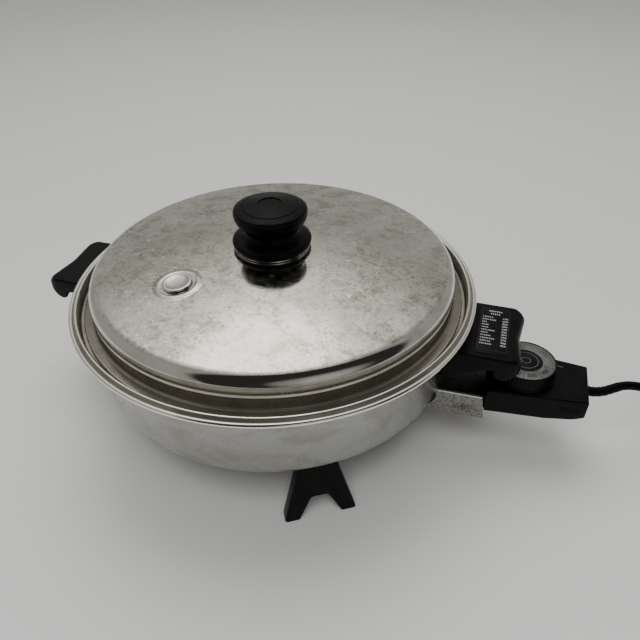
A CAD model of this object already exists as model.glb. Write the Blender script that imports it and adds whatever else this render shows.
"""Round electric skillet with a domed lid and a plug-in thermostat control."""
import math

import bmesh
import bpy
from mathutils import Matrix, Vector


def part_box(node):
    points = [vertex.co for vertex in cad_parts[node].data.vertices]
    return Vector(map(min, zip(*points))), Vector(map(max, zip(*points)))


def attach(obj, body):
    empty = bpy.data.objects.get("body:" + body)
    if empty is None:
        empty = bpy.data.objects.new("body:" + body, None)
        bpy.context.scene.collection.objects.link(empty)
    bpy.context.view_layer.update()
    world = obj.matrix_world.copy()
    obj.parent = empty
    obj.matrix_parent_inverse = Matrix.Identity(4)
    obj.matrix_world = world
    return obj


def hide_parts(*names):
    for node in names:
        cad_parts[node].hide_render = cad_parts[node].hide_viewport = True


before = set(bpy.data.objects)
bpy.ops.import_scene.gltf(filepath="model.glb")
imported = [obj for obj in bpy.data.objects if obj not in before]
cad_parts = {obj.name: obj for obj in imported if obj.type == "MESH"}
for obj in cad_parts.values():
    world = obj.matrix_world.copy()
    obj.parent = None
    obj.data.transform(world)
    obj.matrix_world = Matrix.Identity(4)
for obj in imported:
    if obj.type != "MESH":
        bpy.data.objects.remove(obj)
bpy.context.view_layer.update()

MM = 0.001
PAN_X = sum(corner.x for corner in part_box("pan")) / 2      # the pan's axis


def span(node):
    """Lowest and highest corner of a CAD node, in millimetres from the pan's axis."""
    low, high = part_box(node)
    shift = Vector((PAN_X, 0, 0))
    return (low - shift) / MM, (high - shift) / MM


RIM_R = span("pan")[1].x                 # outer radius of the rolled rim
RIM_Z = span("pan")[1].z                 # its top
WALL_R = span("outer_shell")[1].x        # outer radius of the side wall
BASE_Z = span("outer_shell")[0].z        # underside of the shell
SHEET_T = 1.2                            # thickness of the pan's and the shell's sheet
LID_T = 0.9                              # thickness of the lid's sheet
LID_TOP = 31.8                           # height of the dome's top above the rim
DOME_R = 722.7                           # radius of the dome's sphere
SHOULDER_R = span("lid")[1].x - 6.8      # radius of the lid's shoulder
VENT_DIST = 79.2                         # distance of the vent from the pan's axis
VENT_AZ = math.radians(-126)             # and its direction
KNOB_R = span("lid_knob")[1].x - 2.3     # largest radius of the knob's grip
DIAL_X = (span("dial")[0].x + span("dial")[1].x) / 2       # the dial's axis
CORD_D = 6.5 * MM                        # diameter of the cord


def at_pan(x, y, z):
    """A point given in millimetres from the pan's axis and the surface."""
    return Vector((x * MM + PAN_X, y * MM, z * MM))


def linked(name, data):
    """A new object in the scene."""
    obj = bpy.data.objects.new(name, data)
    bpy.context.collection.objects.link(obj)
    return obj


# ---- camera

def make_camera():
    """Looks down at the skillet from the front, a little to the right of its middle."""
    cam = bpy.data.cameras.new("camera")
    cam.sensor_width = 36
    cam.lens = 33.75
    cam.clip_start = 0.01
    place = at_pan(152.5, -364.5, 374.3)
    heading, pitch, roll = (math.radians(a) for a in (107.63, 37.64, -0.83))
    forward = Vector((math.cos(heading) * math.cos(pitch),
                      math.sin(heading) * math.cos(pitch), -math.sin(pitch)))
    level = Vector((math.sin(heading), -math.cos(heading), 0))
    up = level.cross(forward)
    right = math.cos(roll) * level + math.sin(roll) * up
    up = right.cross(forward)
    obj = linked("camera", cam)
    axes = Matrix((right, up, -forward)).transposed().to_4x4()
    obj.matrix_world = Matrix.Translation(place) @ axes
    bpy.context.scene.camera = obj


make_camera()

# ---- lines and outlines


def smooth_line(points, per_span=4):
    """Points of a curve that runs evenly through the given ones."""
    line = []
    for i in range(len(points) - 1):
        p0, p1 = points[max(i - 1, 0)], points[i]
        p2, p3 = points[i + 1], points[min(i + 2, len(points) - 1)]
        for k in range(per_span):
            t = k / per_span
            line.append(0.5 * (2 * p1 + (p2 - p0) * t + (2 * p0 - 5 * p1 + 4 * p2 - p3) * t ** 2
                               + (3 * p1 - p0 - 3 * p2 + p3) * t ** 3))
    line.append(points[-1])
    return line


def spline(points, per_span):
    """The same in a plane, for points given as pairs."""
    return [tuple(p) for p in smooth_line([Vector(p) for p in points], per_span)]


def rounded(points, steps=5):
    """A closed outline from (x, y, radius) corners. A corner with no radius stays sharp."""
    line = []
    for i, (x, y, r) in enumerate(points):
        p = Vector((x, y))
        if not r:
            line.append((x, y))
            continue
        a = (Vector(points[i - 1][:2]) - p).normalized()
        b = (Vector(points[(i + 1) % len(points)][:2]) - p).normalized()
        half = a.angle(b) / 2
        centre = p + (a + b).normalized() * (r / math.sin(half))
        start = p + a * (r / math.tan(half)) - centre
        end = p + b * (r / math.tan(half)) - centre
        turn = math.atan2(start.x * end.y - start.y * end.x, start.dot(end))
        for k in range(steps + 1):
            t = turn * k / steps
            line.append((centre.x + start.x * math.cos(t) - start.y * math.sin(t),
                         centre.y + start.x * math.sin(t) + start.y * math.cos(t)))
    return line


def box(x0, y0, x1, y1, r=0.0, steps=5):
    """The outline of a rectangle with rounded corners. It runs anticlockwise."""
    return rounded([(x0, y0, r), (x1, y0, r), (x1, y1, r), (x0, y1, r)], steps)


def arc(cx, cy, r, start, end, steps=8):
    """Points of an arc, between two angles in degrees."""
    return [(cx + r * math.cos(math.radians(start + (end - start) * k / steps)),
             cy + r * math.sin(math.radians(start + (end - start) * k / steps)))
            for k in range(steps + 1)]


def inset(outline, distance):
    """An outline moved inwards. It runs anticlockwise."""
    result = []
    n = len(outline)
    for i in range(n):
        before, p, after = (Vector(outline[j % n]) for j in (i - 1, i, i + 1))
        a, b = (p - before), (after - p)
        na = Vector((-a.y, a.x)).normalized()
        nb = Vector((-b.y, b.x)).normalized()
        mid = na + nb
        if mid.length < 1e-6:
            mid = na
        mid = mid.normalized()
        result.append(tuple(p + mid * distance / max(0.5, mid.dot(na))))
    return result


# ---- meshes

def finished(name, verts, faces, crease=35):
    """A mesh from points in millimetres, smooth except at creases sharper than the angle."""
    mesh = bpy.data.meshes.new(name)
    mesh.from_pydata([Vector(v) * MM for v in verts], [], faces)
    bm = bmesh.new()
    bm.from_mesh(mesh)
    bmesh.ops.remove_doubles(bm, verts=bm.verts, dist=1e-7)
    bmesh.ops.dissolve_degenerate(bm, edges=bm.edges, dist=1e-8)
    bmesh.ops.recalc_face_normals(bm, faces=bm.faces)
    bm.to_mesh(mesh)
    bm.free()
    mesh.shade_smooth()
    mesh.set_sharp_from_angle(angle=math.radians(crease))
    return mesh


def lathe(name, profile, segments, shape=None, crease=35):
    """A closed outline of (radius, height) pairs turned round the upright axis.
    shape may change the radius: it is given the radius, the height and the angle."""
    n = len(profile)
    verts = []
    for k in range(segments):
        a = 2 * math.pi * k / segments
        for r, z in profile:
            rr = shape(r, z, a) if shape else r
            verts.append((rr * math.cos(a), rr * math.sin(a), z))
    faces = [(k * n + i, k * n + (i + 1) % n, (k + 1) % segments * n + (i + 1) % n,
              (k + 1) % segments * n + i) for k in range(segments) for i in range(n)]
    return finished(name, verts, faces, crease)


def loft(name, rings, crease=35):
    """A skin over rings of points, all with the same count, with flat ends."""
    n = len(rings[0])
    last = (len(rings) - 1) * n
    verts = [p for ring in rings for p in ring]
    faces = [(a + i, a + (i + 1) % n, a + n + (i + 1) % n, a + n + i)
             for a in range(0, last, n) for i in range(n)]
    faces += [tuple(reversed(range(n))), tuple(last + i for i in range(n))]
    return finished(name, verts, faces, crease)


def slab(name, outline, bottom, top, edge, steps):
    """A flat piece whose edges are rounded by edge. The outline runs anticlockwise."""
    rings = []
    for z, up in ((bottom, -1), (top, 1)):
        turns = [k / steps * math.pi / 2 for k in range(steps + 1)]
        for t in (reversed(turns) if up < 0 else turns):
            height = z - up * edge * (1 - math.sin(t))
            rings.append([(x, y, height) for x, y in inset(outline, edge * (1 - math.cos(t)))])
    return loft(name, rings)


def tube(name, line, radii, sides):
    """A skin of round rings along a line of points in millimetres."""
    rings = []
    for i, p in enumerate(line):
        way = (line[min(i + 1, len(line) - 1)] - line[max(i - 1, 0)]).normalized()
        side = way.cross(Vector((0, 0, 1))).normalized()
        up = side.cross(way)
        rings.append([p + radii[i] * (math.cos(a) * side + math.sin(a) * up)
                      for a in (2 * math.pi * k / sides for k in range(sides))])
    return loft(name, rings)


def placed(mesh, x=0.0, y=0.0, z=0.0, turn=None):
    """The mesh moved to a place given in millimetres from the pan's axis."""
    mesh.transform(Matrix.Translation(at_pan(x, y, z)) @ (turn or Matrix.Identity(4)))
    return mesh


def joined(name, meshes):
    """Several meshes as one."""
    bm = bmesh.new()
    for mesh in meshes:
        bm.from_mesh(mesh)
    result = bpy.data.meshes.new(name)
    bm.to_mesh(result)
    bm.free()
    for mesh in meshes:
        bpy.data.meshes.remove(mesh)
    result.shade_smooth()
    result.set_sharp_from_angle(angle=math.radians(35))
    return result


def piece(name, mesh, material, body, slot, *nodes):
    """A visible piece that rides on a body and stands for CAD nodes."""
    mesh.materials.clear()
    mesh.materials.append(MATERIALS[material])
    obj = linked(name, mesh)
    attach(obj, body)
    if nodes:
        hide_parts(*nodes)
    return obj


def finish_faces(obj, materials, choose):
    """More materials on a piece. choose gives the slot from a face's radius, measured from
    the pan's axis, and its height above the rim."""
    for material in materials:
        obj.data.materials.append(MATERIALS[material])
    for face in obj.data.polygons:
        r = math.hypot(face.center.x - PAN_X, face.center.y) / MM
        face.material_index = choose(r, face.center.z / MM - RIM_Z)


def finish_node(node, material, edge):
    """A CAD node that stays gets a better material, and its sharp edges a small round."""
    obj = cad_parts[node]
    obj.data.materials.clear()
    obj.data.materials.append(MATERIALS[material])
    if edge:
        bevel = obj.modifiers.new("edges", "BEVEL")
        bevel.width = edge * MM
        bevel.segments = 2
        bevel.limit_method = "ANGLE"
        bevel.angle_limit = math.radians(40)


# ---- materials

class Surface:
    """A Principled material and short names for the nodes that feed it."""

    def __init__(self, name, metallic=0.0, coat=0.0, coat_roughness=0.1, specular=0.5):
        self.material = bpy.data.materials.new(name)
        self.material.use_nodes = True
        self.tree = self.material.node_tree
        self.shader = self.tree.nodes["Principled BSDF"]
        for socket, value in (("Metallic", metallic), ("Coat Weight", coat), ("IOR", 1.5),
                              ("Coat Roughness", coat_roughness),
                              ("Specular IOR Level", specular)):
            self.shader.inputs[socket].default_value = value
        self.place = self.node("ShaderNodeTexCoord").outputs["Object"]
        self.height = None

    def node(self, kind, **inputs):
        """A new node. An input's name is given with _ for its spaces."""
        node = self.tree.nodes.new(kind)
        for key, value in inputs.items():
            self.put(node.inputs[key.replace("_", " ")], value)
        return node

    def put(self, socket, value):
        """Links a socket to another, or sets it to a number."""
        if isinstance(value, bpy.types.NodeSocket):
            self.tree.links.new(value, socket)
        else:
            socket.default_value = value

    def shifted(self, scale=(1, 1, 1), turn=(0, 0, 0), move=(0, 0, 0)):
        """The place after a move, a turn and a scale."""
        node = self.node("ShaderNodeMapping")
        self.put(node.inputs["Vector"], self.place)
        node.inputs["Location"].default_value = move
        node.inputs["Rotation"].default_value = [math.radians(t) for t in turn]
        node.inputs["Scale"].default_value = scale
        return node.outputs["Vector"]

    def noise(self, size, detail, rough=0.55, distort=0.0, at=None):
        """Soft noise whose features are about size millimetres across."""
        node = self.node("ShaderNodeTexNoise", Scale=1 / (size * MM), Detail=detail,
                         Roughness=rough, Distortion=distort)
        self.put(node.inputs["Vector"], at or self.place)
        return node.outputs["Fac"]

    def cells(self, size):
        """The distance to the nearest of scattered points, size millimetres apart."""
        node = self.node("ShaderNodeTexVoronoi", Scale=1 / (size * MM))
        self.put(node.inputs["Vector"], self.place)
        return node.outputs["Distance"]

    def sum(self, kind, a, b=0.0):
        """One step of arithmetic. kind is the Math node's operation."""
        node = self.node("ShaderNodeMath")
        node.operation = kind
        self.put(node.inputs[0], a)
        self.put(node.inputs[1], b)
        return node.outputs[0]

    def minus(self, a, b):
        return self.sum("SUBTRACT", a, b)

    def times(self, a, b):
        return self.sum("MULTIPLY", a, b)

    def plus(self, a, b):
        return self.sum("ADD", a, b)

    def larger(self, a, b):
        return self.sum("MAXIMUM", a, b)

    def distance(self, *parts):
        """The length of a line from its parts along each axis."""
        total = None
        for part in parts:
            square = self.times(part, part)
            total = self.plus(total, square) if total else square
        return self.sum("SQRT", total)

    def axes(self):
        """The place's three coordinates."""
        parts = self.node("ShaderNodeSeparateXYZ")
        self.put(parts.inputs[0], self.place)
        return parts.outputs

    def fit(self, value, start, end, low=0.0, high=1.0):
        """The value mapped from start..end to low..high, and held there."""
        node = self.node("ShaderNodeMapRange")
        for key, number in (("Value", value), ("From Min", start), ("From Max", end),
                            ("To Min", low), ("To Max", high)):
            self.put(node.inputs[key], number)
        return node.outputs["Result"]

    def mix(self, amount, a, b):
        """A colour between two colours."""
        node = self.node("ShaderNodeMix")
        node.data_type = "RGBA"
        self.put(node.inputs[0], amount)
        for socket, value in ((node.inputs[6], a), (node.inputs[7], b)):
            self.put(socket, (*value, 1) if isinstance(value, tuple) else value)
        return node.outputs[2]

    def radius(self, x=0.0, y=0.0):
        """Distance from an upright axis, in metres. It is at the pan unless it is given."""
        east, north, _ = self.axes()
        centre = at_pan(x, y, 0)
        return self.distance(self.minus(east, centre.x),
                             self.minus(north, centre.y))

    def rings(self, size, x=0.0, y=0.0, upright=0.0):
        """Fine lines that run round an upright axis. upright is 1 on a wall."""
        across = self.plus(self.radius(x, y), self.times(self.axes()[2], upright))
        node = self.node("ShaderNodeTexNoise", Detail=3.0, Roughness=0.7, Scale=1 / (size * MM))
        node.noise_dimensions = "1D"
        self.put(node.inputs["W"], across)
        return node.outputs["Fac"]

    def scratches(self, turn, length, width, level):
        """Thin straight lines in one direction. The value is 1 on a line. They are fewer the
        higher the level is."""
        stretched = self.shifted(turn=turn, scale=(width / length, 1, width / length))
        return self.fit(self.noise(width, 1.0, 0.4, at=stretched), level, level + 0.05)

    def colour(self, value):
        self.put(self.shader.inputs["Base Color"],
                 (*value, 1) if isinstance(value, tuple) else value)

    def roughness(self, value):
        self.put(self.shader.inputs["Roughness"], value)

    def bump(self, height, depth):
        """Adds relief. depth is in millimetres."""
        node = self.node("ShaderNodeBump", Strength=1.0, Distance=depth * MM)
        self.put(node.inputs["Height"], height)
        if self.height:
            self.put(node.inputs["Normal"], self.height)
        self.height = node.outputs["Normal"]
        self.put(self.shader.inputs["Normal"], self.height)


def steel_lid():
    """Polished stainless, clouded by cooking: dark blotches, fine specks and pale flakes."""
    s = Surface("steel_lid", metallic=1)
    cloud = s.fit(s.noise(55, 4, 0.6, 0.5), 0.36, 0.56)
    far = s.fit(s.noise(42, 3, 0.6, at=s.shifted(move=(0.2, 0.5, 0.3))), 0.42, 0.58)
    blotch = s.times(s.fit(cloud, 0, 1, 0.3, 1), s.fit(s.noise(13, 10, 0.82, 0.3), 0.48, 0.58))
    specks = s.times(s.fit(cloud, 0, 1, 0.4, 1), s.fit(s.noise(2.8, 6, 0.85), 0.53, 0.60))
    flakes = s.times(far, s.fit(s.noise(7, 10, 0.85, 0.6), 0.54, 0.58))
    tone = s.mix(s.times(cloud, 0.5), (0.86, 0.845, 0.76), (0.62, 0.60, 0.515))
    tone = s.mix(s.times(blotch, 0.9), tone, (0.42, 0.395, 0.325))
    tone = s.mix(s.times(specks, 0.85), tone, (0.24, 0.22, 0.175))
    s.colour(s.mix(s.times(flakes, 0.9), tone, (1.0, 0.995, 0.95)))
    lines = s.larger(s.scratches((0, 0, 24), 60, 0.3, 0.72),
                     s.scratches((0, 0, -38), 80, 0.35, 0.72))
    s.roughness(s.plus(s.fit(s.plus(blotch, flakes), 0, 1, 0.08, 0.22), s.times(lines, 0.15)))
    s.bump(specks, -0.010)
    s.bump(lines, -0.004)
    s.bump(s.noise(30, 2, 0.5), 0.05)
    return s.material


def steel_edge(name, colour, dark, rough, metallic, ripple):
    """Polished stainless that has stayed clean, with a dull film in patches."""
    s = Surface(name, metallic=metallic)
    dull = s.fit(s.noise(18, 6, 0.65, 0.5), 0.45, 0.68)
    s.colour(s.mix(s.times(dull, 0.6), colour, dark))
    s.roughness(s.fit(dull, 0, 1, rough, rough + 0.13))
    s.bump(s.rings(2.2, upright=1.0), ripple)
    return s.material


def steel_pan():
    """Stainless with fine lines round the pan, and finger marks."""
    s = Surface("steel_pan", metallic=1)
    brushed = s.rings(0.5)
    marks = s.fit(s.noise(24, 7, 0.66, 0.7), 0.42, 0.66)
    drops = s.fit(s.noise(7, 4, 0.6, 0.4), 0.58, 0.72)
    s.colour(s.mix(s.larger(s.times(marks, 0.75), s.times(drops, 0.5)),
                   (0.42, 0.40, 0.35), (0.28, 0.26, 0.215)))
    s.roughness(s.plus(s.fit(brushed, 0.3, 0.7, 0.28, 0.42), s.times(marks, 0.12)))
    s.bump(brushed, 0.008)
    return s.material


def steel_wall():
    """The outer wall: satin stainless with smudges, rubbed patches and a few dark specks."""
    s = Surface("steel_wall", metallic=1)
    brushed = s.rings(0.7, upright=1.0)
    smudge = s.fit(s.noise(32, 8, 0.66, 0.8, at=s.shifted(scale=(1, 1, 1.8))), 0.45, 0.64)
    rubbed = s.fit(s.noise(9, 6, 0.7, 1.0), 0.55, 0.7)
    specks = s.fit(s.cells(20), 0.055, 0.04)
    tone = s.mix(smudge, (0.41, 0.41, 0.385), (0.335, 0.33, 0.305))
    tone = s.mix(s.times(rubbed, 0.3), tone, (0.25, 0.245, 0.22))
    s.colour(s.mix(specks, tone, (0.03, 0.025, 0.02)))
    s.roughness(s.plus(s.fit(smudge, 0, 1, 0.26, 0.38), s.times(specks, 0.4)))
    s.bump(brushed, 0.006)
    s.bump(s.scratches((90, 0, 20), 50, 0.3, 0.67), -0.004)
    return s.material


def steel_guard():
    """Thin bright sheet, pitted, with a patch of rust on the side that faces the front."""
    s = Surface("steel_guard", metallic=1)
    grain = s.noise(1.3, 4, 0.7)
    pits = s.fit(s.noise(1.7, 6, 0.82), 0.50, 0.57)
    east, north, up = s.axes()
    rust_at = at_pan(158, -30.3, 45.5)
    far = s.distance(s.times(s.minus(east, rust_at.x), 0.5), s.minus(up, rust_at.z),
                     s.times(s.minus(north, rust_at.y), 0.5))
    rust = s.times(s.fit(far, 0.0048, 0.0018), s.fit(s.noise(1.6, 6, 0.8), 0.45, 0.50))
    tone = s.mix(s.times(pits, 0.8), (0.30, 0.295, 0.28), (0.06, 0.055, 0.045))
    s.colour(s.mix(rust, tone, (0.10, 0.064, 0.012)))
    s.put(s.shader.inputs["Metallic"], s.fit(rust, 0, 1, 1, 0.1))
    s.roughness(s.plus(s.fit(grain, 0.3, 0.7, 0.30, 0.42), s.times(rust, 0.35)))
    s.bump(pits, -0.03)
    s.bump(rust, 0.04)
    return s.material


def plain_metal(name, colour, dark, rough, size):
    """A small metal part, with patches of tarnish and a fine grain."""
    s = Surface(name, metallic=1)
    tarnish = s.fit(s.noise(size, 6, 0.7, 0.5), 0.42, 0.68)
    s.colour(s.mix(tarnish, colour, dark))
    s.roughness(s.fit(tarnish, 0, 1, rough - 0.05, rough + 0.15))
    s.bump(s.noise(0.5, 3, 0.6), 0.01)
    return s.material


def moulded(name, colour, rough, coat=0.0, grain=0.012, size=14.0, worn=(0.009, 0.009, 0.0092)):
    """A moulded part: a faint mottle, handling marks that shine, and dust in the grain."""
    s = Surface(name, coat=coat, coat_roughness=0.2, specular=0.09)
    handled = s.fit(s.noise(size, 6, 0.6, 0.6), 0.40, 0.66)
    dust = s.fit(s.noise(0.9, 4, 0.7), 0.60, 0.72)
    marks = s.plus(s.times(handled, 0.4), s.times(dust, 0.6))
    s.colour(s.mix(s.times(marks, 0.8), colour, worn))
    fine = s.scratches((0, 0, 33), 14, 0.15, 0.68)
    s.roughness(s.plus(s.fit(handled, 0, 1, rough - 0.07, rough + 0.09),
                       s.times(s.larger(dust, fine), 0.12)))
    s.bump(s.noise(0.8, 4, 0.6), grain)
    s.bump(s.noise(9, 3, 0.5), grain * 4)
    return s.material


def printed(name, colour, under, wear):
    """Thin print on a part, worn through in specks. under is the grey of the part."""
    s = Surface(name)
    worn = s.fit(s.noise(0.7, 5, 0.75), wear, wear + 0.06)
    ink = s.mix(s.noise(3, 3), colour, tuple(0.85 * c for c in colour))
    s.colour(s.mix(worn, ink, (under,) * 3))
    s.roughness(s.fit(worn, 0, 1, 0.42, 0.55))
    s.bump(worn, -0.01)
    return s.material


def dial_silver():
    """Spun aluminium: fine rings round the dial's axis."""
    s = Surface("scale_silver", metallic=1)
    spun = s.rings(0.25, DIAL_X)
    film = s.fit(s.noise(5, 5, 0.7), 0.42, 0.68)
    s.colour(s.mix(film, (0.25, 0.255, 0.25), (0.18, 0.185, 0.18)))
    s.roughness(s.plus(s.fit(spun, 0.3, 0.7, 0.30, 0.44), s.times(film, 0.1)))
    s.bump(spun, 0.006)
    return s.material


def floor_material():
    """A plain pale surface with a very fine grain."""
    s = Surface("floor", specular=0.25)
    s.colour(s.mix(s.noise(0.9, 3, 0.6), (0.68, 0.677, 0.67), (0.71, 0.707, 0.70)))
    s.roughness(s.fit(s.noise(60, 3), 0.3, 0.7, 0.62, 0.72))
    s.bump(s.noise(1.2, 3, 0.6), 0.02)
    return s.material


BLACK = (0.0018, 0.0018, 0.002)
CAP_BLACK = (0.004, 0.004, 0.0045)
MATERIALS = {
    "steel_lid": steel_lid(),
    "steel_pan": steel_pan(),
    "steel_wall": steel_wall(),
    "guard_steel": steel_guard(),
    "scale_silver": dial_silver(),
}
EDGES = {                                # colour, dull colour, roughness, metallic, ripple
    "steel_edge": ((0.72, 0.70, 0.65), (0.50, 0.47, 0.41), 0.07, 1.0, 0.035),
    "steel_groove": ((0.25, 0.235, 0.19), (0.17, 0.16, 0.125), 0.22, 0.74, 0.003),
    "steel_line": ((0.78, 0.74, 0.63), (0.55, 0.51, 0.42), 0.28, 0.45, 0.003),
    "steel_bead": ((0.95, 0.93, 0.87), (0.72, 0.69, 0.62), 0.12, 1.0, 0.003),
}
METALS = {                               # colour, tarnish, roughness, size of the patches
    "vent_steel": ((0.80, 0.79, 0.76), (0.62, 0.60, 0.56), 0.20, 4),
    "washer_steel": ((0.78, 0.77, 0.74), (0.6, 0.58, 0.54), 0.18, 5),
    "fixing_steel": ((0.60, 0.60, 0.58), (0.40, 0.38, 0.35), 0.35, 4),
    "aluminium_plate": ((0.80, 0.80, 0.82), (0.6, 0.6, 0.6), 0.45, 20),
    "element_sheath": ((0.22, 0.20, 0.19), (0.12, 0.10, 0.09), 0.5, 9),
    "pins": ((0.70, 0.68, 0.62), (0.45, 0.40, 0.32), 0.28, 3),
    "sleeve": ((0.66, 0.65, 0.62), (0.45, 0.43, 0.40), 0.4, 8),
    "probe_steel": ((0.72, 0.71, 0.68), (0.5, 0.44, 0.36), 0.25, 7),
    "frame_steel": ((0.62, 0.62, 0.60), (0.46, 0.45, 0.42), 0.38, 6),
    "shaft_steel": ((0.68, 0.66, 0.58), (0.5, 0.47, 0.4), 0.32, 5),
    "blade_metal": ((0.72, 0.60, 0.40), (0.52, 0.42, 0.28), 0.35, 4),
    "spring_bronze": ((0.76, 0.52, 0.30), (0.5, 0.33, 0.2), 0.32, 4),
    "contact_metal": ((0.84, 0.84, 0.82), (0.6, 0.6, 0.58), 0.3, 2),
    "socket_brass": ((0.80, 0.62, 0.30), (0.52, 0.38, 0.18), 0.3, 4),
    "blade_brass": ((0.78, 0.64, 0.34), (0.58, 0.45, 0.22), 0.26, 5),
}
MOULDED = {                              # colour, roughness, coat, grain, size, worn colour
    "insulator": ((0.78, 0.74, 0.66), 0.7, 0, 0.03, 5, (0.6, 0.54, 0.45)),
    "block_brown": ((0.028, 0.014, 0.009), 0.5, 0, 0.02, 14, (0.05, 0.03, 0.02)),
    "lead_sleeve": ((0.70, 0.66, 0.56), 0.65, 0, 0.05, 3, (0.5, 0.45, 0.36)),
    "knob_black": (BLACK, 0.33, 0.03),
    "phenolic_black": (BLACK, 0.36, 0.03),
    "case_black": (BLACK, 0.37, 0.03),
    "dial_black": (BLACK, 0.35, 0.03),
    "cap_black": (CAP_BLACK, 0.3, 0.1, 0.008, 5),
    "cord_black": (BLACK, 0.42, 0, 0.02, 9),
    "relief_rubber": (BLACK, 0.5, 0, 0.02),
    "tie_black": ((0.02, 0.02, 0.021), 0.6, 0, 0.03, 4),
    "plug_black": (BLACK, 0.45, 0, 0.02),
    "guide_print": (CAP_BLACK, 0.32, 0, 0.006, 8),
}
PRINTED = {                              # colour, grey under it, where the wear begins
    "mark_white": ((0.42, 0.42, 0.41), 0.03, 0.60),
    "mark_grey": ((0.045, 0.045, 0.045), 0.02, 0.60),
    "scale_print": ((0.012, 0.012, 0.012), 0.3, 0.72),
}
for make, table in ((steel_edge, EDGES), (plain_metal, METALS), (moulded, MOULDED),
                    (printed, PRINTED)):
    MATERIALS.update((name, make(name, *values)) for name, values in table.items())

# ---- pan and shell

SEAT_Z = RIM_Z - 8                       # ledge that the lid rests on
FLOOR_Z = RIM_Z - 52                     # cooking surface
CORNER_R = 8                             # bottom corner of the shell
BEAD_R = 1.75                            # rolled edge of the rim
RIM_RISE = 2.2                           # how much the rim's inner edge stands above the roll


def make_pan():
    """One sheet: floor, wall, the gutter that the lid sits in, and the rolled rim."""
    t = SHEET_T
    inner = WALL_R - 2 * t
    fillet = 10
    bead = (RIM_R - BEAD_R, RIM_Z - BEAD_R)
    gutter = RIM_R - 7
    top = ([(0, FLOOR_Z), (inner * 0.5, FLOOR_Z)]
           + arc(inner - fillet, FLOOR_Z + fillet, fillet, -90, 0, 10)
           + arc(inner + 1.6, SEAT_Z - 1.6, 1.6, 180, 90, 5)
           + arc(gutter - 1.6, SEAT_Z + 1.6, 1.6, -90, 0, 5)
           + arc(gutter + 1.6, RIM_Z - 2.1 + RIM_RISE, 1.6, 180, 50, 8)
           + spline([(RIM_R - 3.6, RIM_Z + 0.3), (RIM_R - 3.0, RIM_Z - 0.35)], 3)
           + arc(*bead, BEAD_R, 120, -150, 18))
    under = ([(RIM_R - 4.2, RIM_Z - 1.6), (gutter + 2.2, RIM_Z - 2.0 + RIM_RISE)]
             + arc(gutter + 2.0, RIM_Z - 2.7 + RIM_RISE, 0.7, 90, 180, 4)
             + arc(gutter - 1.6, SEAT_Z + 1.6, 1.6 + t, 0, -90, 5)
             + [(inner + t, SEAT_Z - t)]
             + arc(inner - fillet, FLOOR_Z + fillet, fillet + t, 0, -90, 10)
             + [(0, FLOOR_Z - t)])
    mesh = placed(lathe("pan", top + under, 320))

    def finish(r, height):
        """The roll and the rim's inner edge are bright, the flat between them is dull."""
        if (height > -2.2 and r > RIM_R - 2.6) or (height > -1.0 and r < gutter + 2.4):
            return 1
        return 2 if height > -5 and r > gutter + 1.0 else 0

    body = piece("pan_body", mesh, "steel_pan", "skillet", "steel_pan", "pan")
    finish_faces(body, ("steel_bead", "steel_groove"), finish)


def make_shell():
    """The outer wall and bottom, with a faint pressed ring in the bottom."""
    t = SHEET_T
    outside = ([(WALL_R, RIM_Z - 10)]
               + arc(WALL_R - CORNER_R, BASE_Z + CORNER_R, CORNER_R, 0, -90, 12)
               + spline([(124, BASE_Z), (112, BASE_Z + 0.1), (109, BASE_Z + 0.7),
                         (106, BASE_Z + 0.8), (60, BASE_Z + 0.8)], 3)
               + [(0, BASE_Z + 0.8)])
    inside = ([(0, BASE_Z + 0.8 + t), (104, BASE_Z + 0.8 + t)]
              + arc(WALL_R - CORNER_R, BASE_Z + CORNER_R, CORNER_R - t, -90, 0, 12)
              + [(WALL_R - t, RIM_Z - 10)])
    mesh = placed(lathe("shell", outside + inside, 320))
    piece("outer_wall", mesh, "steel_wall", "skillet", "steel_wall", "outer_shell")


# ---- lid

ROUND_R = 10.7                           # radius of the lid's shoulder, in section


def dome_z(r):
    """Height of the dome's top face at a distance from its axis."""
    return RIM_Z + LID_TOP - DOME_R + math.sqrt(DOME_R ** 2 - r ** 2)


def lid_outline(shift):
    """The lid's outer face, from the middle out, moved inwards by shift."""
    s, z = SHOULDER_R, RIM_Z
    centre_r = s - ROUND_R
    lean = math.degrees(math.asin(centre_r / (DOME_R - ROUND_R)))
    centre_z = z + LID_TOP - DOME_R + math.sqrt((DOME_R - ROUND_R) ** 2 - centre_r ** 2)
    start = centre_r + ROUND_R * math.sin(math.radians(lean))
    dome = [(start * k / 40, dome_z(start * k / 40) - shift) for k in range(40)]
    shoulder = arc(centre_r, centre_z, ROUND_R - shift, 90 - lean, -6, 20)
    wall = spline([(s - 0.7, centre_z - 2.0), (s - 1.1, z + 6.9), (s - 0.9, z + 6.2),
                   (s - 0.35, z + 5.4), (s - 0.9, z + 4.6), (s - 1.2, z + 3.8),
                   (s - 1.2, z - 3.0)], 4)
    foot = arc(s + 1.3, z - 3.2, 2.5, 180, 270, 8)
    return (dome + shoulder + [(r - shift, h) for r, h in wall]
            + [(r - shift * 0.7, h - shift * 0.7) for r, h in foot])


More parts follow.
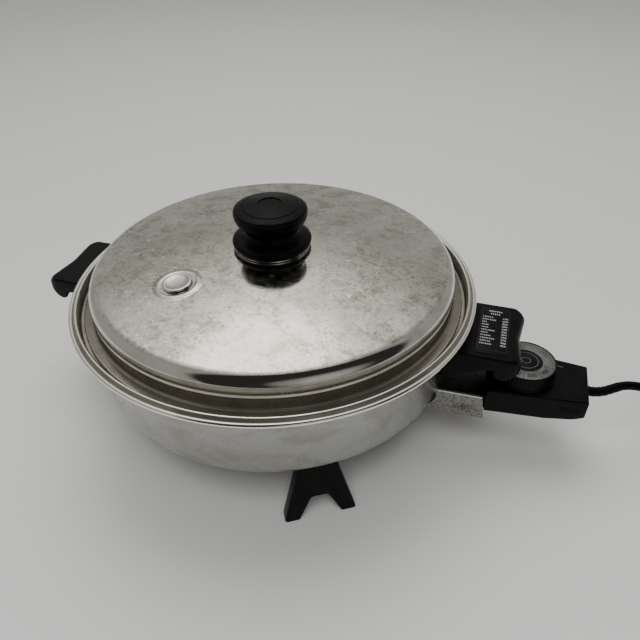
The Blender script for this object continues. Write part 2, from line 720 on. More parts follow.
def make_lid():
    """One sheet: dome, shoulder, a wall with a bead round it, and a flat foot with a lip."""
    z, edge = RIM_Z, SHOULDER_R + 5.9
    lip = [(edge, z - 5.7)] + arc(edge, z - 6.6, 0.9, 90, -90, 8)
    under = [(edge, z - 6.6)]
    profile = lid_outline(0) + lip + under + list(reversed(lid_outline(LID_T)))
    mesh = placed(lathe("lid", profile, 384))

    def finish(r, height):
        """The shoulder and lip are clean, the wall is dull with a bright bead round it."""
        if r <= SHOULDER_R - 6:
            return 0
        if 5.3 < height < 6.5:
            return 3
        return 2 if height < 13 and r < SHOULDER_R + 5.2 else 1

    top = piece("lid_dome", mesh, "steel_lid", "lid", "steel_lid", "lid")
    finish_faces(top, ("steel_edge", "steel_groove", "steel_line"), finish)


def vent_place():
    """The vent's own frame: its middle on the dome, and up square to the dome."""
    lean = math.asin(VENT_DIST / DOME_R)
    centre = at_pan(VENT_DIST * math.cos(VENT_AZ), VENT_DIST * math.sin(VENT_AZ),
                    dome_z(VENT_DIST))
    return (Matrix.Translation(centre) @ Matrix.Rotation(VENT_AZ, 4, "Z")
            @ Matrix.Rotation(lean, 4, "Y"))


def make_vent():
    """A pressed ring in the lid, and a dished cap that lifts a little on its seat."""

    def sag(r):
        """The dome's fall from the vent's middle."""
        return -r * r / (2 * DOME_R)

    ring = spline([(19.0, sag(19.0) - 0.05), (17.5, sag(17.5) + 0.05), (15.6, sag(15.6) + 0.55),
                   (14.2, sag(14.2) + 0.75), (13.2, sag(13.2) + 0.6), (12.2, sag(12.2) + 0.45),
                   (9.0, 0.35), (5.7, 0.2)], 4)
    ring += [(5.7, -0.3), (18.8, sag(18.8) - 0.3)]
    seat = rounded([(3, -2.2, 0), (7.4, -2.2, 0.3), (7.4, -1.0, 0.3), (5.6, -1.0, 0),
                    (5.6, 0.2, 0), (8.0, 0.2, 0.1), (8.0, 0.55, 0.15), (3, 0.55, 0.15)], 4)
    cap = ([(0, 1.25)] + spline([(3, 1.3), (5.6, 1.5), (7.4, 1.85), (8.3, 2.2)], 3)
           + spline([(8.7, 2.3), (9.6, 2.3), (10.4, 2.0), (10.7, 1.4), (10.6, 0.8),
                     (10.3, 0.6)], 4)
           + [(8.4, 0.8), (7.6, 0.7), (1.6, 0.7), (1.6, -6.3), (1.2, -6.7), (0, -6.7)])
    for name, profile, segments, material, body, *nodes in (
            ("lid_vent_ring", ring, 128, "steel_lid", "lid"),
            ("vent_seat_ring", seat, 96, "vent_steel", "lid", "vent_seat"),
            ("vent_cap_disc", cap, 128, "vent_steel", "vent", "vent_cap")):
        mesh = lathe(name, profile, segments)
        mesh.transform(vent_place())
        piece(name, mesh, material, body, material, *nodes)


def make_knob():
    """A moulded grip on a wide foot, with a shallow disc and a fine ring in its top."""
    k = KNOB_R
    z = RIM_Z + LID_TOP + 0.8
    foot = ([(2.5, z), (k + 0.4, z)]
            + spline([(k + 1.2, z + 0.5), (k + 2.0, z + 2.0), (k + 2.3, z + 3.6),
                      (k + 1.7, z + 5.0)], 3)
            + spline([(k + 1.0, z + 5.4), (k - 1, z + 6.3), (k - 4.4, z + 7.3), (k - 6.6, z + 8.5),
                      (k - 7.7, z + 10.2), (k - 7.9, z + 12.4), (k - 7.2, z + 14.6),
                      (k - 5.2, z + 16.2), (k - 2.6, z + 18.2), (k - 0.8, z + 21.4),
                      (k, z + 25.2), (k - 0.15, z + 27.2), (k - 0.9, z + 28.4),
                      (k - 2.6, z + 29.1)], 4))
    crown = spline([(k - 4.6, z + 29.7), (21.2, z + 30.15)], 3)
    groove = [(20.9, z + 30.05), (20.6, z + 29.85), (20.3, z + 30.1)]
    middle = spline([(20.0, z + 30.35), (16.5, z + 31.1), (12.6, z + 31.8), (9.6, z + 32.3)], 4)
    disc = [(9.2, z + 32.45), (8.8, z + 32.4), (8.4, z + 31.9), (8.1, z + 31.55),
            (7.6, z + 31.45), (4, z + 31.6), (0, z + 31.65)]
    bore = [(0, z + 16), (2.5, z + 16)]
    mesh = placed(lathe("knob", foot + crown + groove + middle + disc + bore, 192, crease=42))
    piece("lid_knob_grip", mesh, "knob_black", "lid", "knob_black", "lid_knob")


# ---- legs

LEG_NODES = ["leg_front", "leg_rear", "leg_side"]
LEG_ANGLES = [-58.6, 58.6, 180]
LEG_W, LEG_TOP_W, LEG_T = 53, 27.5, 9    # width at the feet and at the top, thickness
LEG_LEAN = 7                             # how far a leg's outer face leans in at its top
FOOT_R = 142                             # outer side of a foot
FOOT_W = 11                              # width of a foot
STUD_R = 118                             # distance of a leg's stud
PAD_T = 8.3                              # thickness of the pad


def leg_mesh(name, angle):
    """A plate that stands on two feet, and the pad that holds it to the shell."""
    w, h = LEG_W / 2, BASE_Z
    outline = rounded([
        (-w, 0, 1.6), (FOOT_W - w, 0, 1.6), (-6, 19, 3.0), (6, 19, 3.0), (w - FOOT_W, 0, 1.6),
        (w, 0, 1.6), (LEG_TOP_W / 2, h, 0.4), (-LEG_TOP_W / 2, h, 0.4)], 4)
    plate = slab(name, outline, 0, LEG_T, 1.0, 4)
    for v in plate.vertices:
        across, height, depth = v.co
        radial = (FOOT_R - LEG_T - LEG_LEAN * height / (BASE_Z * MM)) * MM + depth
        v.co = (radial, across, height)
    plate.flip_normals()
    pad_out = FOOT_R - LEG_T / 2 - LEG_LEAN
    pad = slab("pad", rounded([(STUD_R - 10, -13, 2.5), (pad_out, -13, 1), (pad_out, 13, 1),
                               (STUD_R - 10, 13, 2.5)], 4), h - PAD_T, h - 0.02, 0.8, 3)
    mesh = joined(name, [plate, pad])
    return placed(mesh, turn=Matrix.Rotation(math.radians(angle), 4, "Z"))


def make_legs():
    """Three alike legs, turned round the pan's axis."""
    for node, angle in zip(LEG_NODES, LEG_ANGLES):
        piece(node + "_moulding", leg_mesh(node, angle), "phenolic_black",
              "skillet", "phenolic_black", node)


# ---- handles

HANDLE_ENDS = {"handle_right": 193.0, "handle_left": 194.5}      # how far they reach
HANDLE_BOW = 3.5                         # how much shorter a handle is at its middle
HANDLE_CORNER = 9                        # radius of its corners, from above
LIP_R, ROLL_R = 6.5, 9.0                 # top edge and rolled end, in section


def handle_section(x, inner, z):
    """A handle's section along the radius. Its rolled end reaches x, its root starts at inner."""
    line = ([(inner, z)] + arc(x - LIP_R, z - LIP_R, LIP_R, 90, 0, 10)
            + arc(x - ROLL_R, z - ROLL_R - 0.5, ROLL_R, -4, -165, 26)
            + arc(x - 17.4, z - 12.6, 1.6, 20, 100, 4)
            + [(x - 24, z - 11.6)]
            + spline([(159, z - 16.4), (154, z - 17.4), (151.5, z - 18.8), (149.6, z - 22.2),
                      (147.5, z - 24.4), (145, z - 24.9)], 3)
            + [(inner, z - 23)])
    return list(reversed(line))


def handle_mesh(node, flip):
    """Lofted along the rim, with a slight bow in its outer side and rounded outer corners."""
    high = span(node)[1]
    end, half, z = HANDLE_ENDS[node], high.y, high.z
    stations = 36
    round_off = 1.6                      # round of the edges at its two sides
    squeeze_from = 166                   # the corners' rounding moves what lies beyond this
    rings = sorted({half * k / stations for k in range(-stations, stations + 1)}
                   | {s * (half - round_off * (1 - math.cos(math.pi / 2 * (1 - t / 6))))
                      for s in (-1, 1) for t in range(7)})
    skin = []
    for y in rings:
        kink = math.sqrt((y / half) ** 2 + 0.004) - math.sqrt(0.004)
        x = end - HANDLE_BOW * (1 - kink)
        over = abs(y) - (half - HANDLE_CORNER)
        cut = HANDLE_CORNER - math.sqrt(max(0.0, HANDLE_CORNER ** 2 - over ** 2)) if over > 0 else 0
        inner = math.sqrt((WALL_R + 1.6) ** 2 - y * y)
        outline = handle_section(x, inner, z)
        gap = half - abs(y)
        if gap < round_off:
            side = round_off - gap
            shrink = round_off - math.sqrt(max(0.0, round_off ** 2 - side ** 2))
            outline = inset(outline, shrink)
        squeeze = cut / (x - squeeze_from)
        skin.append([(px - squeeze * max(0.0, px - squeeze_from), y, pz) for px, pz in outline])
    turn = Matrix.Scale(-1, 4, (1, 0, 0)) if flip else None
    mesh = placed(loft(node, skin, 40), turn=turn)
    if flip:
        mesh.flip_normals()
    return mesh


def make_handles():
    """Two alike handles. The left one is a mirror image."""
    for node, flip in (("handle_right", False), ("handle_left", True)):
        piece(node + "_grip", handle_mesh(node, flip), "phenolic_black",
              "skillet", "phenolic_black", node)


# ---- prints

def text_mesh(text, size, x, y, z, turn, spread):
    """Numerals as thin raised print, centred, size millimetres tall and spread wide.
    turn is in degrees."""
    font = bpy.data.curves.new("print", "FONT")
    font.body = text
    font.align_x = "CENTER"
    font.align_y = "CENTER"
    font.size = size * 1.4 * MM
    font.extrude = 0.03 * MM
    font.offset = size * 0.045 * MM
    font.resolution_u = 3
    temporary = linked("print", font)
    mesh = bpy.data.meshes.new_from_object(temporary.evaluated_get(
        bpy.context.evaluated_depsgraph_get()))
    bpy.data.objects.remove(temporary)
    bpy.data.curves.remove(font)
    mesh.transform(Matrix.Scale(spread, 4, (1, 0, 0)))
    return placed(mesh, x, y, z, Matrix.Rotation(math.radians(turn), 4, "Z"))


def strip(x0, y0, x1, y1, z):
    """A thin raised bar between two corners."""
    return placed(slab("bar", box(x0, y0, x1, y1), z - 0.02, z + 0.06, 0.02, 1))


GUIDE_ROWS = [6, 8, 3, 4, 4, 8, 4, 6, 8, 6, 7]     # how many dashes stand for each row's words
GUIDE_HEATS = ["150", "200", "225", "250", "300", "325", "350", "350", "375", "400", "425"]


def make_guide():
    """The printed plate on the right handle: rows of dashes with a heat at the end of each."""
    low, high = span("guide_plate")
    width, depth = high.x - low.x, high.y - low.y
    plate = slab("guide", box(low.x, low.y, high.x, high.y, 1.2, 4), low.z - 0.1, high.z, 0.12, 2)
    piece("guide_plate_face", placed(plate), "guide_print", "skillet", "guide_print",
          "guide_plate")
    top = high.z
    bars = []
    for row, count in ((0.085, 7), (0.145, 5)):          # the heading's two lines
        y = high.y - depth * row
        for k in range(count):
            x = (low.x + high.x) / 2 + (k - (count - 1) / 2) * 1.45
            bars.append(strip(x - 0.42, y - 0.8, x + 0.42, y + 0.8, top))
    for row, (dashes, heat) in enumerate(zip(GUIDE_ROWS, GUIDE_HEATS)):
        y = high.y - depth * (0.225 + 0.058 * row)
        for k in range(dashes):
            x = low.x + width * 0.12 + 1.28 * k
            wide = 0.85 if (k * 7 + row * 3) % 4 else 0.6
            bars.append(strip(x, y - 0.62, x + wide, y + 0.62, top))
        bars.append(text_mesh(heat, 1.6, high.x - width * 0.17, y, top + 0.02, 0, 1.2))
    line = 0.16
    x0, x1 = low.x + width * 0.07, high.x - width * 0.04
    y0 = low.y + depth * 0.07
    y1 = high.y - depth * 0.04
    border = [strip(x0, y0, x1, y0 + line, top), strip(x0, y0, x0 + line, y1, top),
              strip(x1 - line, y0, x1, y1, top)]
    piece("guide_print_marks", joined("guide_print_marks", bars), "mark_white",
          "skillet", "mark_white")
    piece("guide_print_border", joined("guide_print_border", border), "mark_grey",
          "skillet", "mark_white")


# ---- guard

GUARD_T = 1.0                            # thickness of its sheet
GUARD_TOP, GUARD_LOW = RIM_Z - 52, RIM_Z - 74
GUARD_FOLD = 2.0                         # radius of the bend between its top and sides
GUARD_W = (34.7, 28.6)                   # half widths at x = GUARD_ROOT and at the mouth
GUARD_ROOT, GUARD_MOUTH = 120, 174.0
GUARD_SLOPE = (GUARD_W[0] - GUARD_W[1]) / (GUARD_MOUTH - GUARD_ROOT)
GUARD_CUT = 3.4                          # how much shorter its top is than its lower edge
GUARD_SAG = 2.8                          # drop of its outer corners
SAG_FROM, SAG_RUN = 138, 34              # where the drop starts, and how far it takes
PLATE_W = 10.5                           # distance from its sides that the top bends down in
FLANGE_TOP = RIM_Z - 27
FLANGE_GAP, FLANGE_T = 0.25, 1.0         # from the wall to the ears, and their thickness


def guard_wall(y, z):
    """Where the guard meets the wall and the wall's bottom corner."""
    r = WALL_R + 1.5
    under = BASE_Z + CORNER_R - z
    if under > 0:
        r = WALL_R - CORNER_R + math.sqrt(max(9.0, (CORNER_R + 1.5) ** 2 - under ** 2))
        if under > CORNER_R:
            r -= 0.9 * (under - CORNER_R) / CORNER_R
    return math.sqrt(r * r - y * y)


def guard_side(x):
    """The guard's half width, a given way out."""
    return GUARD_W[0] - GUARD_SLOPE * (x - GUARD_ROOT)


def guard_sag(x):
    """How far the edges of the guard's top hang down, a given way out."""
    return GUARD_SAG * max(0.0, (x - SAG_FROM) / SAG_RUN)


def guard_sheet():
    """The bent sheet round the control's socket, open below and towards the control."""
    side = ([(0.0, GUARD_LOW + (GUARD_TOP - GUARD_FOLD - GUARD_LOW) * k / 14)
             for k in range(15)]
            + [(GUARD_FOLD * (1 - math.cos(a)), GUARD_TOP - GUARD_FOLD + GUARD_FOLD * math.sin(a))
               for a in (math.pi / 2 * k / 6 for k in range(1, 7))])
    inner = inset([(-d, z) for d, z in side] + [(-40, GUARD_TOP), (-40, GUARD_LOW)], GUARD_T)
    inner = [(-d, z) for d, z in inner[:len(side)]]
    inner[0] = (GUARD_T, GUARD_LOW)
    stations = 24
    rings = []
    for j in range(stations + 1):
        faces = []
        for outline in (side, inner):
            for s in (1, -1):
                row = []
                for d, z in outline + [(PLATE_W, outline[-1][1])]:
                    rise = (z - GUARD_LOW) / (GUARD_TOP - GUARD_LOW)
                    x0 = guard_wall(guard_side(134) - d, z)
                    x = x0 + (GUARD_MOUTH - GUARD_CUT * rise - x0) * (j / stations)
                    sag = 0.0 if d == PLATE_W else guard_sag(x)
                    row.append((x, s * (guard_side(x) - d), z - sag))
                faces.append(row)
        right, left, right_in, left_in = faces
        rings.append(right + list(reversed(left)) + left_in + list(reversed(right_in)))
    return loft("guard", rings, 40)


def guard_ears():
    """The flange that lies against the wall. It is cut into strips and bent round the pan."""
    half = [(32.4, GUARD_TOP - GUARD_T), (50.5, FLANGE_TOP), (36.0, FLANGE_TOP),
            (34.0, RIM_Z - 37)]
    outline = rounded([(y, z, 1.0) for y, z in half]
                      + [(-y, z, 1.0) for y, z in reversed(half)], 4)
    low = WALL_R + FLANGE_GAP
    ears = slab("flange", outline, low, low + FLANGE_T, 0.3, 2)
    width, strips = 101, 48
    bm = bmesh.new()
    bm.from_mesh(ears)
    for k in range(1, strips):
        across = (k / strips - 0.5) * width * MM
        bmesh.ops.bisect_plane(bm, geom=bm.verts[:] + bm.edges[:] + bm.faces[:],
                               plane_co=(across, 0, 0), plane_no=(1, 0, 0))
    bm.to_mesh(ears)
    bm.free()
    for v in ears.vertices:
        y, z, r = v.co
        v.co = (math.sqrt(max(0.0, r * r - y * y)), y, z)
    ears.flip_normals()
    return ears


def rods(name, points, radius):
    """A thin round rod through the points on each side of the guard."""
    return placed(joined(name, [
        tube(name, [Vector((x, s * y, z)) for x, y, z in points], [radius] * len(points), 12)
        for s in (-1, 1)]))


def make_guard():
    """The bent sheet with its ears, hems along its top, and the dark gap at the wall."""
    hem = []
    start = guard_wall(31.5, GUARD_TOP) + 0.8
    for k in range(13):
        x = start + (GUARD_MOUTH - 4.2 - SAG_FROM) * k / 12
        hem.append((x, guard_side(x) - 0.2, GUARD_TOP - 0.9 - guard_sag(x)))
    piece("probe_guard_hems", rods("hems", hem, 0.95), "steel_bead", "skillet", "guard_steel")
    seam = []
    for k in range(21):
        z = GUARD_TOP - 0.5 - (GUARD_TOP - GUARD_LOW) * k / 20
        x = guard_wall(guard_side(134), z) - 0.1
        seam.append((x, guard_side(x) + 0.2, z))
    piece("probe_guard_seams", rods("seams", seam, 0.55), "tie_black", "skillet", "guard_steel")
    mesh = placed(joined("guard", [guard_sheet(), guard_ears()]))
    piece("probe_guard_sheet", mesh, "guard_steel", "skillet", "guard_steel", "probe_guard")


# ---- control

SPLIT_Z = RIM_Z - 55.3                   # joint between the halves of the case
CASE_START, CASE_END = span("case_top")[0].x, span("case_top")[1].x
CASE_TOP, CASE_LOW = span("case_top")[1].z, span("case_bottom")[0].z
CASE_W = (span("case_top")[1].y, 20.6)   # half widths at its inner and outer ends
CASE_EDGE = 1.3                          # round of its edges
CASE_NOTCH = 1.8                         # how far the outer end bends in at its middle
RISE_X, BEND_X = 216, CASE_END - 9       # where the underside starts to rise, and to curl up


def case_half(x):
    """Half the case's width. It narrows evenly towards the outer end."""
    return CASE_W[0] + (CASE_W[1] - CASE_W[0]) * (x - CASE_START) / (CASE_END - CASE_START)


def case_under(x):
    """Height of the case's underside."""
    if x < RISE_X:
        return CASE_LOW
    if x < BEND_X:
        return CASE_LOW + 2.2 * (x - RISE_X) / (BEND_X - RISE_X)
    return CASE_LOW + 2.2 + 2.8 * (x - BEND_X) / 9


def case_section(x, grow, upper):
    """Half of the case's section across, moved inwards by grow except at the joint."""
    w = case_half(x) - grow
    if upper:
        low, high = SPLIT_Z, CASE_TOP - grow
        corners = [(-w, low, 0), (w, low, 0), (w, low + 0.5, 0), (w, high, CASE_EDGE),
                   (-w, high, CASE_EDGE), (-w, low + 0.5, 0)]
    else:
        low, high = case_under(x) + grow, SPLIT_Z
        corners = [(-w, low, CASE_EDGE), (w, low, CASE_EDGE), (w, high - 0.5, 0), (w, high, 0),
                   (-w, high, 0), (-w, high - 0.5, 0)]
    return rounded(corners, 5)


def case_mesh(name, upper):
    """Half of the case, lofted from its inner end to the bent outer end."""
    edge = CASE_EDGE
    turns = [math.pi / 2 * k / 4 for k in range(5)]
    rings = []
    for a in turns:
        section = case_section(CASE_START, edge * (1 - math.cos(math.pi / 2 - a)), upper)
        rings.append([(CASE_START + edge * (1 - math.sin(a)), y, z) for y, z in section])
    stations = [CASE_START + (CASE_END - CASE_START) * k / 24 for k in range(25)]
    for x in sorted(set(stations + [RISE_X, BEND_X])):
        if CASE_START + edge < x < CASE_END - edge - 2:
            rings.append([(x, y, z) for y, z in case_section(x, 0, upper)])
    w = case_half(CASE_END)
    for a in turns:
        x = CASE_END - edge * (1 - math.sin(a))
        rings.append([(x - CASE_NOTCH * (1 - min(1, abs(y) / w)), y, z)
                      for y, z in case_section(CASE_END, edge * (1 - math.cos(a)), upper)])
    return loft(name, rings)


def make_case():
    """Two halves, with a low nose towards the guard and ribs to grip at the outer end."""
    piece("case_top_shell", placed(case_mesh("case_top", True)), "case_black", "control",
          "case_black", "case_top")
    nose = rounded([(CASE_START - 3.2, -25.6, 0.8), (CASE_START + 3, -25.6, 0),
                    (CASE_START + 3, 25.6, 0), (CASE_START - 3.2, 25.6, 0.8)], 4)
    lower = [case_mesh("case_bottom", False),
             slab("nose", nose, CASE_LOW + 1.2, SPLIT_Z - 0.6, 0.4, 2)]
    for k in range(7):
        x = CASE_END - 17.5 + 2.1 * k
        for s in (-1, 1):
            y = s * case_half(x)
            lower.append(slab("rib", box(x - 0.55, y - 0.45, x + 0.55, y + 0.45, 0.3, 3),
                              CASE_LOW + 6.5, SPLIT_Z - 0.8, 0.3, 2))
    piece("case_bottom_shell", placed(joined("case_bottom", lower)), "case_black", "control",
          "case_black", "case_bottom")


def make_dial():
    """A ribbed skirt with a silver scale ring let into its top, and a dark disc in the middle."""
    low, high = span("dial")
    base, top = low.z, high.z
    r = high.x - DIAL_X - 2.2            # outer radius of the scale ring
    height = top - base

    def flutes(rr, z, a):
        """Grooves down the skirt, for the fingers."""
        if base + 2.9 < z < top - 1.2 and rr > r + 0.4:
            return rr - 0.4 * max(0.0, math.cos(48 * a)) ** 0.7
        return rr

    skirt = ([(3.05, base), (r + 1.9, base)]
             + arc(r + 1.7, base + 0.5, 0.5, -90, 0, 3) + [(r + 2.2, base + 1.7)]
             + arc(r + 1.8, base + 1.8, 0.4, 0, 90, 3)
             + [(r + 1.55, base + 2.5), (r + 1.5, base + 2.8)]
             + [(r + 1.45 - 0.45 * k / 6, base + 3.2 + (height - 4.6) * k / 6)
                for k in range(7)]
             + arc(r + 0.45, top - 0.55, 0.5, 20, 90, 4)
             + [(r + 0.12, top - 0.05), (r, top - 0.3), (r, top - 1.4), (12.1, top - 1.4),
                (12.1, top - 1.6), (3.05, top - 1.6)])
    mesh = placed(lathe("dial", skirt, 480, flutes, 30), DIAL_X)
    piece("dial_skirt", mesh, "dial_black", "dial", "dial_black", "dial")
    ring = rounded([(12.1, top - 1.4, 0), (r - 0.05, top - 1.4, 0), (r - 0.05, top - 0.25, 0.25),
                    (12.1, top - 0.25, 0.25)], 4)
    mesh = placed(lathe("scale", ring, 192), DIAL_X)
    piece("dial_scale", mesh, "scale_silver", "dial", "scale_silver", "dial_ring")
    cap = ([(0, top - 1.6), (12.05, top - 1.6)] + arc(11.7, top - 0.55, 0.35, 0, 90, 4)
           + [(11.0, top - 0.22), (10.8, top - 0.35), (10.5, top - 0.35), (10.3, top - 0.22),
              (0, top - 0.2)])
    mesh = placed(lathe("cap", cap, 128), DIAL_X)
    piece("dial_centre", mesh, "cap_black", "dial", "cap_black", "dial_cap")
    make_dial_print(r, top - 0.25)


SCALE_STEP = 39.5                        # angle between two heats on the dial
SCALE_FIRST = -73.5                      # direction of the heat 350


def dial_line(angle, start, end, z):
    """A line of print between two distances from the dial's axis. angle is in degrees."""
    bar = slab("line", box(start, -0.2, end, 0.2), z - 0.02, z + 0.05, 0.02, 1)
    return placed(bar, DIAL_X, turn=Matrix.Rotation(math.radians(angle), 4, "Z"))


def make_dial_print(r, z):
    """Heats between lines on the ring, and two thin plain rings on the middle disc."""
    meshes = []
    for k, heat in enumerate(["200", "250", "300", "350", "400"]):
        turn = SCALE_FIRST + SCALE_STEP * (k - 3)
        a = math.radians(turn)
        meshes += [text_mesh(heat, 3.5, DIAL_X + 16.8 * math.cos(a), 16.8 * math.sin(a),
                             z + 0.02, turn + 90, 0.95),
                   dial_line(turn - SCALE_STEP / 2, 13.0, r - 0.6, z),
                   dial_line(turn, r - 2.3, r - 0.6, z)]
    meshes.append(dial_line(SCALE_FIRST + SCALE_STEP * 1.5, 13.0, r - 0.6, z))
    meshes += [dial_line(42 + turn, 14.6, 18.2, z) for turn in (-9, -3, 3, 9)]
    dot = lathe("dot", [(0, z - 0.02), (0.7, z - 0.02), (0.7, z + 0.05), (0, z + 0.05)], 24)
    a = math.radians(109)
    meshes.append(placed(dot, DIAL_X + 15.8 * math.cos(a), 15.8 * math.sin(a)))
    piece("dial_marks", joined("dial_marks", meshes), "scale_print", "dial", "mark_white")
    thin = [lathe("ring", [(r0, z - 0.02), (r0 + 0.5, z - 0.02), (r0 + 0.5, z + 0.12),
                           (r0, z + 0.12)], 96) for r0 in (3.0, 8.6)]
    piece("dial_ornament", placed(joined("ornament", thin), DIAL_X), "scale_silver", "dial",
          "scale_silver")


def make_mark():
    """The short bar that a heat on the dial is turned to."""
    low, high = span("index_mark")
    bar = slab("mark", box(-2.6, -0.65, 2.6, 0.65, 0.3), low.z - 0.1, high.z, 0.08, 2)
    turn = Matrix.Rotation(math.radians(-10), 4, "Z")
    piece("case_index_mark", placed(bar, DIAL_X + 26.7, 14.6, turn=turn),
          "mark_grey", "control", "mark_white", "index_mark")


# ---- cord

LEAD_ROUTE = [
    (244, 0, 57.7), (249.8, 0.3, 57.9), (255.5, 1.7, 58.8), (260.8, 4, 60.4),
    (265.8, 6.3, 62), (271, 8, 62.9), (276.5, 9.2, 62.9), (282, 10.6, 61.9),
    (287.3, 13, 60), (292, 16.7, 57.1), (296.2, 21.6, 53.3), (299.6, 27.5, 48.5),
    (302.4, 34.2, 43), (305, 41.2, 37), (307.8, 48.4, 30.6), (311.4, 55.4, 24.4),
    (316, 62.2, 18.6), (321.8, 68.8, 13.2), (328.4, 74.6, 8.8), (335.4, 79.2, 5.9),
    (342.6, 82.2, 4.5), (350, 83.5, 4.1)]
TAIL_ROUTE = [
    (389.5, 44, 10.55), (389.6, 36, 10.4), (389.8, 28, 9.6), (390, 20, 8.6), (390, 11, 8),
    (390, 2, 8)]
COIL_CENTRE = (350, 44)
COIL_LOW, COIL_HIGH = 4.05, 10.55        # heights of the two layers of turns
COIL_OUT, COIL_IN = 39.5, 33.0           # radii of the outer and the inner turns


def ease(t, start, end):
    """A smooth step from 0 to 1 between start and end."""
    u = min(1.0, max(0.0, (t - start) / (end - start)))
    return u * u * (3 - 2 * u)


def coil_points():
    """Turns laid outside to inside, then back out again on top of themselves."""
    points = []
    for t in range(15, 1170, 15):        # degrees round the coil
        r = COIL_OUT - (COIL_OUT - COIL_IN) * (ease(t, 220, 300) - ease(t, 820, 900))
        z = COIL_LOW + (COIL_HIGH - COIL_LOW) * ease(t, 530, 610)
        a = math.radians(90 - t)
        points.append((COIL_CENTRE[0] + r * math.cos(a), COIL_CENTRE[1] + r * math.sin(a), z))
    return points


def make_cord():
    """One round cord along the lead, the coil and the tail to the plug."""
    points = [at_pan(*p) for p in LEAD_ROUTE + coil_points() + TAIL_ROUTE]
    line = smooth_line(points)
    curve = bpy.data.curves.new("power_cord", "CURVE")
    curve.dimensions = "3D"
    curve.bevel_depth = CORD_D / 2
    curve.bevel_resolution = 5
    curve.use_fill_caps = True
    curve.materials.append(MATERIALS["cord_black"])
    line_data = curve.splines.new("POLY")
    line_data.points.add(len(line) - 1)
    for point, co in zip(line_data.points, line):
        point.co = (*co, 1)
    line_data.use_smooth = True
    obj = linked("power_cord", curve)
    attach(obj, "control")
    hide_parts("cord", "cord_coil")


def make_relief():
    """A tapered sleeve with shallow grooves, where the cord leaves the case."""
    line = smooth_line([Vector(p) for p in [(240, 0, 57.7)] + LEAD_ROUTE[:5]], 8)
    count = len(line)
    radii = []
    for i in range(count):
        u = i / (count - 1)
        r = 3.85 - 0.4 * u
        if 0.25 < u < 0.95:
            r -= 0.25 * max(0.0, math.sin(u * 48))
        radii.append(r)
    mesh = placed(tube("relief", line, radii, 32))
    piece("strain_relief_sleeve", mesh, "relief_rubber", "control", "relief_rubber",
          "strain_relief")


def make_tie():
    """A flat band with rounded corners round the coil's section."""
    near, far, t = 29.5, 43.0, 0.8       # the band's reach from the coil's axis, its thickness
    w = (far - near) + 2 * t
    outer = box(-w / 2, 0, w / 2, span("cord_tie")[1].z, 3.2)
    inner = inset(outer, t)
    n = len(outer)
    verts = [(x, y, z) for y, grow in ((-3.0, 0.25), (-2.7, 0.0), (2.7, 0.0), (3.0, 0.25))
             for x, z in inset(outer, grow) + inset(inner, -grow)]
    faces = []
    for j in range(3):
        for i in range(n):
            k = (i + 1) % n
            a, b = j * 2 * n, (j + 1) * 2 * n
            faces.append((a + i, a + k, b + k, b + i))
            faces.append((a + n + k, a + n + i, b + n + i, b + n + k))
    for a, flip in ((0, True), (3 * 2 * n, False)):
        for i in range(n):
            k = (i + 1) % n
            quad = (a + i, a + k, a + n + k, a + n + i)
            faces.append(quad if flip else tuple(reversed(quad)))
    mesh = finished("tie", verts, faces)
    mid = (near + far) / 2
    turn = Matrix.Rotation(math.radians(215), 4, "Z") @ Matrix.Translation((mid * MM, 0, 0))
    mesh = placed(mesh, *COIL_CENTRE, turn=turn)
    piece("cord_tie_band", mesh, "tie_black", "control", "tie_black", "cord_tie")


def make_plug():
    """A moulded plug: waisted grips, a rounded back and a flat front."""
    low, high = span("plug_body")
    cx, cz = (low.x + high.x) / 2, (low.z + high.z) / 2
    half_w, half_h = (high.x - low.x) / 2, (high.z - low.z) / 2
    length = high.y - low.y
    rings = []
    for k in range(25):
        u = k / 24
        y = high.y - length * u
        back = math.sqrt(max(0.0, 1 - (1 - min(1, u / 0.22)) ** 2))
        waist = 1 - 0.14 * math.exp(-((u - 0.5) / 0.16) ** 2)
        w = (4.6 + (half_w - 4.6) * back) * waist
        h = 4.4 + (half_h - 4.4) * back
        if u == 1:
            w, h = w - 0.8, h - 0.8
        ring = box(-w, -h, w, h, min(h, 4) * 0.95)
        rings.append([(cx + a, max(y, low.y) + (0.5 if k == 23 else 0), cz + b) for a, b in ring])
    mesh = placed(loft("plug", rings, 40))
    piece("plug_body_moulding", mesh, "plug_black", "control", "plug_black",
          "plug_body")


# ---- parts kept from the CAD

KEPT_NODES = {                           # material, and the round on their edges
    "knob_washer": ("washer_steel", 0.2), "knob_screw": ("fixing_steel", 0.3),
    "screw_washer": ("washer_steel", 0.2), "vent_retainer": ("washer_steel", 0.2),
    "leg_studs": ("fixing_steel", 0.3), "leg_nuts": ("fixing_steel", 0.4),
    "handle_bracket_right": ("frame_steel", 0.3), "handle_bracket_left": ("frame_steel", 0.3),
    "handle_screws": ("fixing_steel", 0.4), "plug_blades": ("blade_brass", 0.25),
    "heat_spreader": ("aluminium_plate", 0.6), "heating_element": ("element_sheath", 0),
    "element_pins": ("pins", 0), "pin_insulators": ("insulator", 0.3),
    "probe_sleeve": ("sleeve", 0.3), "terminal_block": ("block_brown", 0.5),
    "terminal_sockets": ("socket_brass", 0.15), "probe": ("probe_steel", 0),
    "probe_collar": ("probe_steel", 0.3), "thermostat_frame": ("frame_steel", 0.3),
    "bimetal_blade": ("blade_metal", 0.1), "contact_springs": ("spring_bronze", 0.1),
    "contact_points": ("contact_metal", 0.2), "power_leads": ("lead_sleeve", 0.2),
    "case_screws": ("fixing_steel", 0.2), "dial_shaft": ("shaft_steel", 0.3)}


def make_kept_parts():
    """The small and hidden parts: their CAD shapes with better materials."""
    for node, (material, edge) in KEPT_NODES.items():
        finish_node(node, material, edge)


# ---- floor and light

WORLD_LEVEL = 2.4                        # brightness of the surroundings


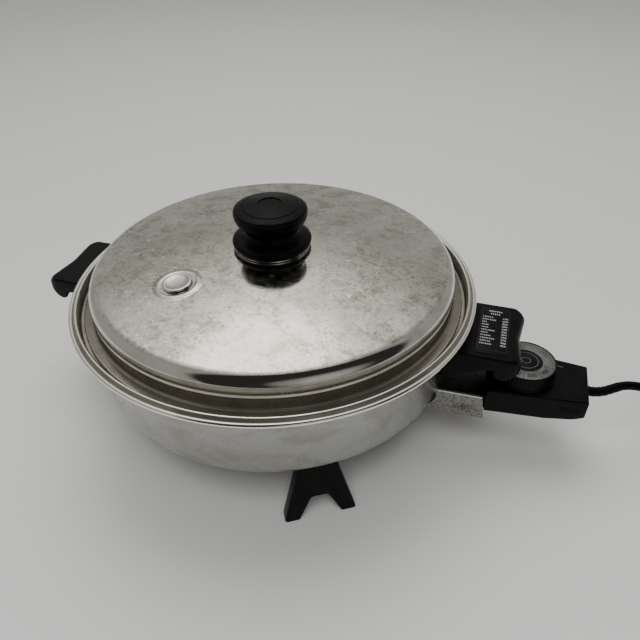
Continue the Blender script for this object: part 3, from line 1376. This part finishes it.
def make_floor():
    """A wide plain surface to stand on."""
    size = 8.0
    mesh = bpy.data.meshes.new("floor")
    mesh.from_pydata([(-size, -size, 0), (size, -size, 0), (size, size, 0), (-size, size, 0)],
                     [], [(0, 1, 2, 3)])
    mesh.materials.append(floor_material())
    floor = linked("floor", mesh)


def make_world():
    """Bright above and behind, dimmer low down. A dark side with a soft panel in it is what
    the polished steel reflects."""
    world = bpy.data.worlds.new("studio")
    bpy.context.scene.world = world
    world.use_nodes = True
    tree = world.node_tree
    background = tree.nodes["Background"]
    place = tree.nodes.new("ShaderNodeTexCoord")

    def lobe(azimuth, elevation, *steps):
        """Grey levels against the cosine of the angle to a direction."""
        a, e = math.radians(azimuth), math.radians(elevation)
        dot = tree.nodes.new("ShaderNodeVectorMath")
        dot.operation = "DOT_PRODUCT"
        dot.inputs[1].default_value = (math.cos(a) * math.cos(e), math.sin(a) * math.cos(e),
                                       math.sin(e))
        tree.links.new(place.outputs["Generated"], dot.inputs[0])
        ramp = tree.nodes.new("ShaderNodeValToRGB")
        points = ramp.color_ramp.elements
        while len(points) < len(steps):
            points.new(0.5)
        for point, (position, level) in zip(points, steps):
            point.position = position
            point.color = (level, 0.992 * level, 0.97 * level, 1)
        tree.links.new(dot.outputs["Value"], ramp.inputs["Fac"])
        return ramp.outputs["Color"]

    def blend(kind, a, b):
        """Two grey patterns multiplied or added."""
        both = tree.nodes.new("ShaderNodeMix")
        both.data_type = "RGBA"
        both.blend_type = kind
        both.inputs[0].default_value = 1.0
        tree.links.new(a, both.inputs[6])
        tree.links.new(b, both.inputs[7])
        return both.outputs[2]

    pale = lobe(120, 62, (0.20, 0.15), (0.60, 0.15), (0.78, 0.135), (0.86, 0.21), (0.957, 0.46),
                (0.985, 0.95))
    dark = lobe(-54, 27, (0.48, 1.0), (0.56, 0.08))
    panel = lobe(-46, 20, (0.86, 0.0), (0.99, 0.17))
    light = blend("ADD", blend("MULTIPLY", pale, dark), panel)
    tree.links.new(light, background.inputs["Color"])
    background.inputs["Strength"].default_value = WORLD_LEVEL


def make_light(name, place, aim, size, watts):
    """A square lamp that isn't seen in reflections."""
    data = bpy.data.lights.new(name, "AREA")
    data.shape = "SQUARE"
    data.size = size
    data.energy = watts
    obj = linked(name, data)
    obj.location = place
    way = Vector(aim) - Vector(place)
    obj.rotation_euler = way.to_track_quat("-Z", "Y").to_euler()
    obj.visible_glossy = False


make_pan()
make_shell()
make_lid()
make_vent()
make_knob()
make_legs()
make_handles()
make_guide()
make_guard()
make_case()
make_dial()
make_mark()
make_relief()
make_tie()
make_plug()
make_kept_parts()
make_cord()
make_floor()
make_world()
make_light("key", (-0.2, 0.6, 1.6), (0, 0, 0.1), 1.2, 12)
make_light("front", (0.2, -0.9, 1.6), (0, -0.2, 0), 1.0, 16)

bpy.context.view_layer.update()
